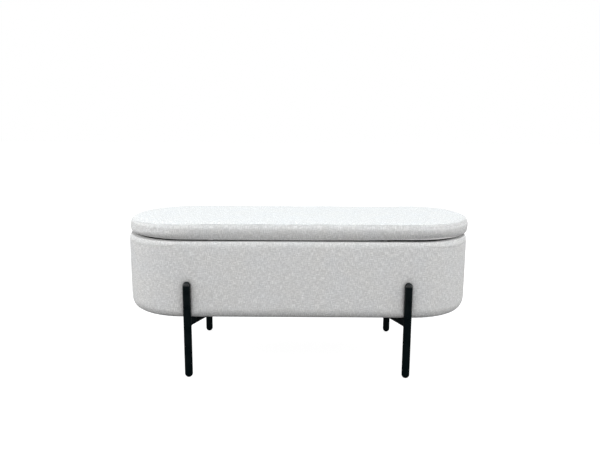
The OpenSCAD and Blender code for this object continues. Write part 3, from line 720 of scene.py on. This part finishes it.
def band_swell(s, z):
    """The band's unevenness: soft waves and a line pressed in under the welt, both stronger at the corners,
    slanting folds by the left end, and a fuller lower edge round both ends, most of all the left one."""
    corners = band_corners(s)
    swell = 0.45 * MM * ripple(s, z, 41, (5, 24), 30)
    swell = swell + (0.18 * MM + 0.40 * MM * corners) * ripple(s, z, 42, (28, 74), 120)
    welt_line = seam_z - 8.2 * MM + 1.3 * MM * ripple(s, 0, 43, (8, 26), 1)
    swell = swell - (0.1 * MM + 0.65 * MM * corners) * bell(z - welt_line, 2.6 * MM)
    for k in range(7):
        spot = ENDS["left"] + (0.08 + 0.055 * k) * END
        fold = away(s, spot) - (z - welt_line) * (1.3 if k % 2 else -0.9)
        swell = swell + 0.55 * MM * bell(fold, 5 * MM) * ease(z, lid_z + 8 * MM, lid_z + 20 * MM)
    round_end = 1 - ease(np.abs(centre_and_turn(s)[2]), 0.5, 1.0)
    swell = swell + 5 * MM * round_end * bell(z - lid_z - 2 * MM, 11 * MM)
    left_end = 1 - ease(np.abs(away(s, ENDS["left"])), 0.36 * END, 0.62 * END)
    return swell + 3.2 * MM * left_end * bell(z - lid_z - 12 * MM, 10 * MM)


def band_rise(s):
    """How far the lower edge lifts on its way round: most at the right end's front, a little at the left
    end's, and it hangs lower along the front between them."""
    front = (KNOTS[2] + KNOTS[3]) / 2
    rise = 4.8 * MM * bell(away(s, KNOTS[3] + 0.16 * END), 0.15)
    rise = rise + 1.2 * MM * bell(away(s, KNOTS[2] - 0.2 * END), 0.1)
    return rise - 2.0 * MM * bell(away(s, front - 0.1), 0.34) + 0.4 * MM * ripple(s, 0, 44, (6, 22), 1)


def lid_band_cushion():
    """The lid's side band on its foam, its section carried round the oval. The lower edge lifts and is
    gathered where it turns under, and the upper edge follows the seam's sway."""
    profile, shown, foot = band_profile()
    s = stations(720, [ENDS["left"] + 0.3 * END, ENDS["right"] - 0.3 * END], 1.5, 0.15)
    rho, z = profile[:, :1], profile[:, 1:]
    side = shown * ease(rho, foot, foot + 5 * MM) * ease(z, seam_z, seam_z - 4 * MM)
    up = (z - lid_z) / (seam_z - lid_z)
    lift = shown * (1 - ease(up, 0, 0.55)) * ease(rho, foot - 8 * MM, foot + 6 * MM)
    turned = shown * ease(z, lid_z + 5 * MM, lid_z) * ease(rho, lid_reach - 2 * MM, foot - 2 * MM)
    gathered = turned * pleats(s, 16 * MM) * 0.5 * MM * ease(rho, foot + 4 * MM, foot - 8 * MM)
    high = z + lift * band_rise(s) - gathered
    high = high + shown * ease(z, seam_z - 10 * MM, seam_z) * seam_sway(s)
    high = high + (1 - shown) * ease(z, board_high.z, seam_z) * seam_sway(s)
    points = carried(s, rho + side * band_swell(s, z), high, lid_slip)
    return grid_mesh("lid_side", points, round_weave(s, lengths(profile)), wrap_rows=True)


lid_top_panel = upholster(lid_top_cushion(), "lid_fabric", "lid", "lid_top_cover", "lid_foam")
lid_side = upholster(lid_band_cushion(), "lid_fabric", "lid", "lid_side_band")


# ---- Linings ----

def wall_lining():
    """The cavity's side lining: a strip with a folded hem along its top, over the turned edge of the cover.
    It lies against the wall boards, with slack between the fastenings."""
    thick = 0.7 * MM
    hem_low, hem_top = rim_z - 18 * MM, rim_z - 6 * MM
    step_z = hem_low - 12 * MM
    over, back = wall_in - 1.5 * MM, lining_in + thick
    profile = np.concatenate([
        straight((lining_in, step_z), (lining_in, lining_floor), 44),
        straight((lining_in, lining_floor), (back, lining_floor), 2),
        straight((back, lining_floor), (back, step_z), 16),
        straight((back, step_z), (over, hem_low + 6 * MM), 3),
        straight((over, hem_low + 6 * MM), (over, hem_top), 3),
        arc((over - thick, hem_top), (thick, thick), 0, 180, 6),
        straight((over - 2 * thick, hem_top), (over - 2 * thick, hem_low), 4),
        straight((over - 2 * thick, hem_low), (over - thick, hem_low - 0.4 * MM), 2),
        straight((over - thick, hem_low - 0.4 * MM), (lining_in, step_z), 3),
    ])
    s = stations(420)
    rho, z = profile[:, :1], profile[:, 1:]
    middle = np.sin(np.clip((z - lining_floor) / (hem_low - lining_floor), 0, 1) * math.pi)
    slack = 0.8 * MM * (1 + ripple(s, z, 51, (8, 30), 20)) * middle
    free = np.ones_like(s)
    for spot in (*LEGS.values(), run - 45 * MM, LOOP - run + 45 * MM):
        free = free * (1 - bell(away(s, spot), 45 * MM))
    points = carried(s, rho - slack * free, z)
    return grid_mesh("wall_lining", points, round_weave(s, lengths(profile)), wrap_rows=True)


def oval_sheet(name, out, level, thick, hem, sag, facing):
    """A flat oval sheet with a doubled hem at its edge, closed above and below. level is its upper or lower
    face, facing is 1 where it is seen from above and -1 from below, and sag moves its points by their
    place."""
    edge = out - hem
    seen = np.concatenate([
        straight((0, level), (edge, level), 26),
        straight((edge, level), (edge + 0.4 * MM, level + facing * thick), 2),
        straight((edge + 0.4 * MM, level + facing * thick), (out, level + facing * thick), 3),
    ])
    back = np.array([(out + thick, level), (out, level - facing * thick), (edge, level - facing * thick),
                     (0, level - facing * thick)])
    profile = np.concatenate([seen, back])
    if facing > 0:
        profile = profile[::-1]
    s = stations(420)
    rho, z = profile[:, :1], profile[:, 1:]
    x, out_x, out_y = centre_and_turn(s)
    points = carried(s, rho, z + sag(x + rho * out_x, rho * out_y, rho / out))
    return grid_mesh(name, points, flat_weave(s, rho), weld=True)


def floor_give(x, y, share):
    """The floor lining lies on the board with a little slack, and turns up where it meets the side."""
    loose = 0.5 * MM * (1 + np.cos(x * 31 + 0.7) * np.cos(y * 26 - 0.3)) * (1 - share ** 4)
    return loose + 2.5 * MM * ease(share, 0.975, 1.0)


def dust_give(x, y, share):
    """The dust cloth hangs a little between its staples, and the leg rails hold it flat."""
    hang = 2.2 * MM * (1 - share ** 2) * (1 - bell(np.abs(x) - rail_x, 25 * MM))
    return -hang * (1 + 0.25 * np.cos(x * 23) * np.cos(y * 31))


def lid_lining_give(x, y, share):
    """The cloth under the lid board is stretched, with slack that the stay brackets hold flat."""
    held = 1 - bell(np.abs(x) - (run - 45 * MM), 30 * MM) * bell(y - 71 * MM, 40 * MM)
    return -0.5 * MM * (1 - share ** 2) * held * (1 + 0.5 * np.cos(x * 37) * np.cos(y * 29))


wall_cloth = upholster(wall_lining(), "lining", "base", "cavity_lining")
floor_cloth = upholster(
    oval_sheet("floor_lining", lining_in - 1.2 * MM, lining_floor, 0.6 * MM, 8 * MM, floor_give, 1),
    "lining", "base", "cavity_lining")


def staples(name, out, level, pitch, seed, facing):
    """Staples along an oval at the distance out from the centre line: a flat crown 10 mm wide whose legs turn
    into the cloth, each a few degrees out of line."""
    ring = stations(2000)
    point = carried(ring, out, level)
    walked = np.concatenate([[0], np.cumsum(np.linalg.norm(np.diff(point, axis=0), axis=1))])
    count = int(walked[-1] // pitch)
    draw = np.random.default_rng(seed)
    at = np.interp((np.arange(count) + draw.uniform(-0.18, 0.18, count) + 0.5) * pitch, walked, ring)
    _, out_x, out_y = centre_and_turn(at)
    tilt = draw.uniform(-0.22, 0.22, count)
    flat = np.zeros(count)
    outward = np.stack([out_x, out_y, flat], axis=1)
    along = np.stack([-out_y, out_x, flat], axis=1)
    turned = along * np.cos(tilt)[:, None] + outward * np.sin(tilt)[:, None]
    up = np.array([[0, 0, facing]])
    side = np.cross(up, turned)
    middles = carried(at, out + draw.uniform(-1, 1, count) * MM, level)
    path = np.array([(-5, -1.6), (-5, -1.5), (-5, 0.1), (-4.6, 0.45), (4.6, 0.45), (5, 0.1), (5, -1.5),
                     (5, -1.6)]) * MM
    radius = np.array([0, 0.4, 0.4, 0.42, 0.42, 0.4, 0.4, 0]) * MM
    return spindles(name, middles, turned, side, path, radius)


def seam_thread(name):
    """The seam's thread where it shows between the two covers: short stitches along the groove."""
    pitch = 4.5 * MM
    count = int(LOOP // pitch)
    s = np.arange(count) * LOOP / count
    draw = np.random.default_rng(71)
    _, out_x, out_y = centre_and_turn(s)
    flat = np.zeros(count)
    along = np.stack([-out_y, out_x, flat], axis=1)
    side = np.stack([out_x, out_y, flat], axis=1)
    level = GROOVE[1] + seam_sway(s) + draw.uniform(-0.1, 0.1, count) * MM
    middles = carried(s, GROOVE[0] + 0.25 * MM, level, lid_slip)
    path = np.array([(-1.6, 0), (-1.5, 0), (-0.8, 0), (0.8, 0), (1.5, 0), (1.6, 0)]) * MM
    radius = np.array([0, 0.16, 0.24, 0.24, 0.16, 0]) * MM
    return spindles(name, middles, along, side, path, radius)


dust_sheet = oval_sheet("dust_sheet", dust_out + 8 * MM, under_z - 0.3 * MM, 0.6 * MM, 12 * MM, dust_give, -1)
dust_staples = staples("dust_sheet_staples", dust_out + 3 * MM, under_z - 0.9 * MM, 46 * MM, 61, -1)
upholster(dust_sheet, "dust_cloth", "base", "dust_cover")
upholster(dust_staples, "zinc_steel", "base")

lid_sheet = oval_sheet("lid_inner_sheet", lid_lining_out + 8 * MM, lid_z - 0.3 * MM, 0.6 * MM, 12 * MM,
                       lid_lining_give, -1)
lid_staples = staples("lid_inner_staples", lid_lining_out + 3 * MM, lid_z - 0.9 * MM, 46 * MM, 62, -1)
upholster(lid_sheet, "dust_cloth", "lid", "lid_lining")
upholster(lid_staples, "zinc_steel", "lid")

upholster(seam_thread("lid_seam_thread"), "lid_fabric", "lid")


# ---- Welds ----

def weld_beads(name, mark):
    """The beads that join a rail to its two legs: each runs round the rail's end on the leg's round face, a
    ring whose thickness ripples with the welder's dabs."""
    steps, sides, dabs = 120, 10, 22
    half_h = (rail_high.z - rail_low.z) / 2
    mid_z = (rail_high.z + rail_low.z) / 2
    t = np.arange(steps) / steps * 4
    b = np.interp(t, [0, 1, 2, 3, 4], [-1, 1, 1, -1, -1]) * rail_half_w
    h = np.interp(t, [0, 1, 2, 3, 4], [1, 1, -1, -1, 1]) * half_h
    a = np.sqrt(leg_r ** 2 - b ** 2)
    thick = 1.15 * MM + 0.22 * MM * np.cos(t / 4 * 2 * math.pi * dabs)
    turn = np.arange(sides) / sides * 2 * math.pi
    parts = []
    for rear in (1, -1):
        inward = np.array([-mark * math.sin(arm_angle), -rear * math.cos(arm_angle), 0])
        across = np.array([rear * math.cos(arm_angle) * mark, -math.sin(arm_angle), 0])
        middle = np.array([mark * leg_x, rear * leg_y, mid_z])
        line = middle + a[:, None] * inward + b[:, None] * across + h[:, None] * np.array([0, 0, 1.0])
        tangent = np.roll(line, -1, axis=0) - np.roll(line, 1, axis=0)
        tangent /= np.linalg.norm(tangent, axis=1)[:, None]
        first = np.cross(tangent, inward)
        first /= np.linalg.norm(first, axis=1)[:, None]
        second = np.cross(tangent, first)
        ring = np.cos(turn)[None, :, None] * first[:, None] + np.sin(turn)[None, :, None] * second[:, None]
        parts.append((line[:, None] + thick[:, None, None] * ring).reshape(-1, 3))
    r, c = np.meshgrid(np.arange(steps), np.arange(sides), indexing="ij")
    corners = [(r, c), (r, c + 1), (r + 1, c + 1), (r + 1, c)]
    one = np.stack([(i % steps) * sides + j % sides for i, j in corners], axis=-1).reshape(-1, 4)
    mesh = bpy.data.meshes.new(name)
    mesh.from_pydata(np.concatenate(parts), [], np.concatenate([one, one + steps * sides]))
    shape = bmesh.new()
    shape.from_mesh(mesh)
    bmesh.ops.recalc_face_normals(shape, faces=shape.faces)
    shape.to_mesh(mesh)
    shape.free()
    return finished(name, mesh, False)


upholster(weld_beads("left_rail_welds", -1), "black_steel", "base")
upholster(weld_beads("right_rail_welds", 1), "black_steel", "base")


# ---- Studio ----

def studio_floor():
    """A plain pale floor."""
    half = 20.0
    corners = [(-half, -half, 0), (half, -half, 0), (half, half, 0), (-half, half, 0)]
    mesh = bpy.data.meshes.new("studio_floor")
    mesh.from_pydata(corners, [], [(0, 1, 2, 3)])
    floor = bpy.data.objects.new("studio_floor", mesh)
    bpy.context.scene.collection.objects.link(floor)
    material, _, shader = new_material("pale floor", Roughness=0.9, Specular_IOR_Level=0.0)
    shader.inputs["Base Color"].default_value = (0.32, 0.32, 0.32, 1)
    shader.inputs["Emission Color"].default_value = (1, 1, 1, 1)
    shader.inputs["Emission Strength"].default_value = 0.86
    mesh.materials.append(material)
    floor.visible_diffuse = False
    floor.visible_glossy = False


def studio_world():
    """White all round, and dimmer from below, where the light comes back from the floor."""
    world = bpy.data.worlds.new("studio")
    bpy.context.scene.world = world
    world.use_nodes = True
    tree = world.node_tree
    direction = put(tree, "TexCoord").outputs["Generated"]
    height = put(tree, "SeparateXYZ", Vector=direction).outputs[2]
    dim_to_white = [(0.0, (0.04, 0.04, 0.04)), (1.0, (1, 1, 1))]
    colour = ramp(tree, spread(tree, height, -0.26, -0.04, 0, 1), dim_to_white)
    tree.links.new(colour, tree.nodes["Background"].inputs["Color"])


def soft_light(name, place, target, size, power, tint=(1, 1, 1)):
    """A square soft light at a place, turned towards a target."""
    lamp = bpy.data.lights.new(name, "AREA")
    lamp.shape = "RECTANGLE"
    lamp.size, lamp.size_y = size
    lamp.energy = power
    lamp.color = tint
    made = bpy.data.objects.new(name, lamp)
    bpy.context.scene.collection.objects.link(made)
    there = Matrix.Translation(place)
    way = (Matrix.Translation(target).translation - there.translation).to_track_quat("-Z", "Y")
    made.matrix_world = there @ way.to_matrix().to_4x4()


def camera():
    """A camera at the bench's front, a little above it and looking down to it."""
    stand, tilt, roll = (0.0055, -1.6822, 0.6972), math.radians(80.04), 0.0058
    lens = bpy.data.cameras.new("camera")
    lens.lens = 34.06
    lens.sensor_width = 36.0
    seen = bpy.data.objects.new("camera", lens)
    bpy.context.scene.collection.objects.link(seen)
    seen.matrix_world = (Matrix.Translation(stand) @ Matrix.Rotation(tilt, 4, "X")
                         @ Matrix.Rotation(roll, 4, "Z"))
    bpy.context.scene.camera = seen


studio_floor()
studio_world()
soft_light("overhead light", (0, 0.1, 2.2), (0, 0, 0.4), (2.2, 1.4), 9.0, (0.64, 0.89, 1.0))
soft_light("front light", (0, -2.7, 1.9), (0, 0, 0.3), (1.6, 1.0), 15)
soft_light("left window", (-2.6, -0.3, 1.2), (0, 0, 0.3), (1.4, 1.4), 19)
soft_light("right window", (2.6, -0.6, 1.0), (0, 0, 0.3), (1.4, 1.4), 12)
soft_light("left lamp", (-1.5, -1.5, 1.9), (0, 0, 0.3), (0.22, 0.22), 4)
soft_light("right lamp", (1.5, -1.5, 1.9), (0, 0, 0.3), (0.22, 0.22), 4)
camera()
bpy.context.scene.view_settings.view_transform = "Standard"
